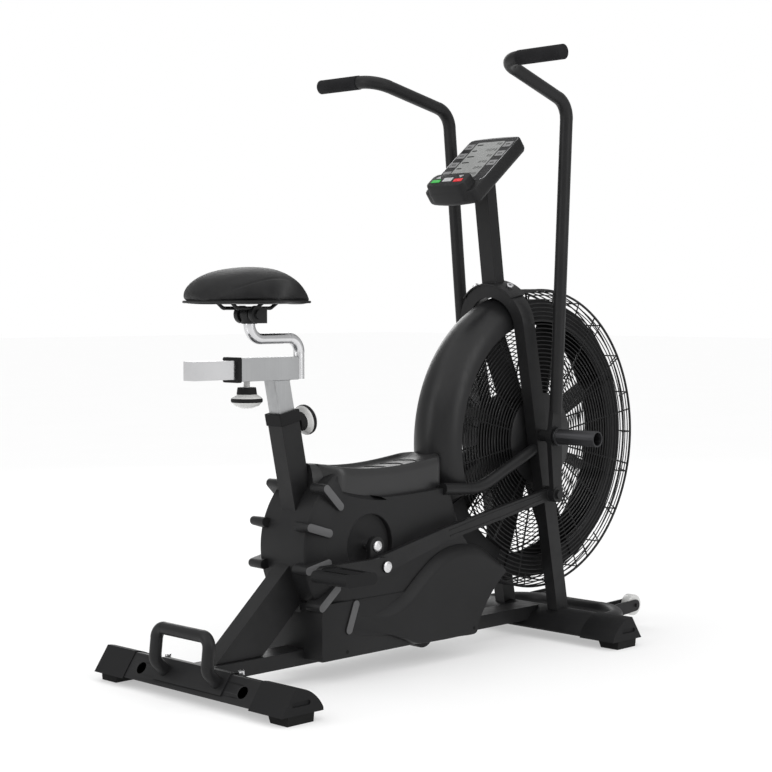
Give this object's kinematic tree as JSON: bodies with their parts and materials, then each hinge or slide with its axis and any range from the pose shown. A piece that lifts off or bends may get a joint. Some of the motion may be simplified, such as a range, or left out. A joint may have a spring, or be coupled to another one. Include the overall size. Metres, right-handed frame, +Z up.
{
  "type": "air bike",
  "caption": "Fan-braked exercise bike with moving handles, pedals, an adjustable saddle, a console and transport wheels.",
  "frame": {"origin": "on the floor, at the middle of the object's bounding box in x and y", "axes": "+X forward, the way the rider faces; +Y the rider's left; +Z up"},
  "size_m": [1.3303, 0.6406, 1.2682],
  "materials": {
    "frame_black": "satin",
    "moulding": "satin",
    "gloss_shell": "glossy",
    "cap_plastic": "matte",
    "rubber_black": "matte",
    "steel_bright": "satin",
    "post_grey": "satin",
    "knob_white": "glossy",
    "wire_black": "gloss",
    "belt_rubber": "matte",
    "saddle_skin": "satin",
    "foam_grip": "matte",
    "peg_metal": "brushed",
    "screen_panel": "glossy",
    "key_green": "satin",
    "key_red": "satin",
    "key_grey": "satin",
    "wheel_white": "satin"
  },
  "bodies": {
    "frame": {"rear_stabilizer": "frame_black", "front_stabilizer": "frame_black", "stabilizer_caps": "cap_plastic", "rubber_feet": "rubber_black", "lift_handle": "frame_black", "main_beam": "frame_black", "rear_strut": "frame_black", "seat_tube": "frame_black", "seat_collar": "cap_plastic", "fork": "frame_black", "console_mast": "frame_black", "side_braces": "frame_black", "front_bar": "frame_black", "cover_right": "moulding", "cover_left": "moulding", "top_cover": "moulding", "top_pad": "rubber_black", "shroud": "gloss_shell", "cage_right": "wire_black", "cage_left": "wire_black", "cage_hoops": "wire_black", "foot_pegs": "peg_metal", "frame_bolts": "steel_bright", "fan_axle": "steel_bright", "drive_belt": "belt_rubber", "fan_belt": "belt_rubber", "fan_belt_cover": "moulding", "console_case": "moulding", "console_panel": "screen_panel"},
    "crank": {"crank_axle": "steel_bright", "crank_pulley": "cap_plastic", "crank_arm_right": "frame_black", "crank_arm_left": "frame_black", "pedal_arm_right": "frame_black", "pedal_arm_left": "frame_black"},
    "rod_right": {"rod_right": "frame_black"},
    "rod_left": {"rod_left": "frame_black"},
    "pedal_right": {"pedal_right": "cap_plastic"},
    "pedal_left": {"pedal_left": "cap_plastic"},
    "handle_right": {"handle_right": "frame_black", "grip_right": "foam_grip"},
    "handle_left": {"handle_left": "frame_black", "grip_left": "foam_grip"},
    "fan": {"fan_wheel": "cap_plastic"},
    "jackshaft": {"jackshaft": "steel_bright"},
    "post": {"seat_post": "post_grey"},
    "slider": {"seat_slider": "steel_bright", "saddle_socket": "frame_black"},
    "saddle": {"saddle_clamp": "frame_black", "saddle_rails": "frame_black", "saddle": "saddle_skin"},
    "knob_height": {"knob_height": "knob_white"},
    "knob_slide": {"knob_slide": "knob_white"},
    "key_start": {"key_start": "key_green"},
    "key_stop": {"key_stop": "key_red"},
    "key_enter": {"key_enter": "key_grey"},
    "key_up": {"key_up": "key_grey"},
    "key_down": {"key_down": "key_grey"},
    "wheel_right": {"wheel_right": "wheel_white"},
    "wheel_left": {"wheel_left": "wheel_white"}
  },
  "joints": [
    {"name": "crank_spin", "type": "hinge", "parent": "frame", "child": "crank", "pos_m": [-0.23485, 0, 0.264], "axis": [0, 1, 0], "continuous": true},
    {"name": "rod_right_turn", "type": "hinge", "parent": "crank", "child": "rod_right", "pos_m": [-0.23558, -0.107, 0.22601], "axis": [0, 1, 0], "continuous": true},
    {"name": "rod_left_turn", "type": "hinge", "parent": "crank", "child": "rod_left", "pos_m": [-0.23412, 0.107, 0.30199], "axis": [0, 1, 0], "continuous": true},
    {"name": "pedal_right_spin", "type": "hinge", "parent": "crank", "child": "pedal_right", "pos_m": [-0.4012, -0.18, 0.22895], "axis": [0, 1, 0], "continuous": true},
    {"name": "pedal_left_spin", "type": "hinge", "parent": "crank", "child": "pedal_left", "pos_m": [-0.0685, 0.18, 0.29906], "axis": [0, 1, 0], "continuous": true},
    {"name": "handle_right_swing", "type": "hinge", "parent": "frame", "child": "handle_right", "pos_m": [0.28715, -0.126, 0.457], "axis": [0, 1, 0], "range_deg": [-19.6, 14.8]},
    {"name": "handle_left_swing", "type": "hinge", "parent": "frame", "child": "handle_left", "pos_m": [0.28715, 0.126, 0.457], "axis": [0, 1, 0], "range_deg": [-14.8, 19.6]},
    {"name": "fan_spin", "type": "hinge", "parent": "frame", "child": "fan", "pos_m": [0.33015, 0, 0.446], "axis": [0, 1, 0], "continuous": true},
    {"name": "jackshaft_spin", "type": "hinge", "parent": "frame", "child": "jackshaft", "pos_m": [-0.00985, 0, 0.165], "axis": [0, 1, 0], "continuous": true},
    {"name": "seat_height", "type": "slide", "parent": "frame", "child": "post", "axis": [-0.2045, 0, 0.9789], "range_m": [0, 0.12]},
    {"name": "seat_fore_aft", "type": "slide", "parent": "post", "child": "slider", "axis": [1, 0, 0], "range_m": [0, 0.08]},
    {"name": "saddle_tilt", "type": "hinge", "parent": "slider", "child": "saddle", "pos_m": [-0.48185, 0, 0.727], "axis": [0, 1, 0], "range_deg": [-4, 4]},
    {"name": "height_knob_pull", "type": "slide", "parent": "frame", "child": "knob_height", "axis": [0.9789, 0, 0.2045], "range_m": [0, 0.008], "stiffness_N_per_m": 2500, "springref_m": -0.002},
    {"name": "slide_knob_pull", "type": "slide", "parent": "post", "child": "knob_slide", "axis": [0, 0, -1], "range_m": [0, 0.008], "stiffness_N_per_m": 2500, "springref_m": -0.002},
    {"name": "key_start_press", "type": "slide", "parent": "frame", "child": "key_start", "axis": [0.6293, 0, -0.7771], "range_m": [0, 0.001], "stiffness_N_per_m": 900, "springref_m": -0.0006},
    {"name": "key_stop_press", "type": "slide", "parent": "frame", "child": "key_stop", "axis": [0.6293, 0, -0.7771], "range_m": [0, 0.001], "stiffness_N_per_m": 900, "springref_m": -0.0006},
    {"name": "key_enter_press", "type": "slide", "parent": "frame", "child": "key_enter", "axis": [0.6293, 0, -0.7771], "range_m": [0, 0.001], "stiffness_N_per_m": 900, "springref_m": -0.0006},
    {"name": "key_up_press", "type": "slide", "parent": "frame", "child": "key_up", "axis": [0.6293, 0, -0.7771], "range_m": [0, 0.001], "stiffness_N_per_m": 900, "springref_m": -0.0006},
    {"name": "key_down_press", "type": "slide", "parent": "frame", "child": "key_down", "axis": [0.6293, 0, -0.7771], "range_m": [0, 0.001], "stiffness_N_per_m": 900, "springref_m": -0.0006},
    {"name": "wheel_right_spin", "type": "hinge", "parent": "frame", "child": "wheel_right", "pos_m": [0.58815, -0.112, 0.046], "axis": [0, 1, 0], "continuous": true},
    {"name": "wheel_left_spin", "type": "hinge", "parent": "frame", "child": "wheel_left", "pos_m": [0.58815, 0.112, 0.046], "axis": [0, 1, 0], "continuous": true}
  ],
  "couplings": [
    {"joint": "rod_right_turn", "follows": "crank_spin", "ratio": -1},
    {"joint": "rod_left_turn", "follows": "crank_spin", "ratio": -1},
    {"joint": "handle_left_swing", "follows": "handle_right_swing", "ratio": -1},
    {"joint": "jackshaft_spin", "follows": "crank_spin", "ratio": 3.9333},
    {"joint": "fan_spin", "follows": "crank_spin", "ratio": 9.44}
  ]
}
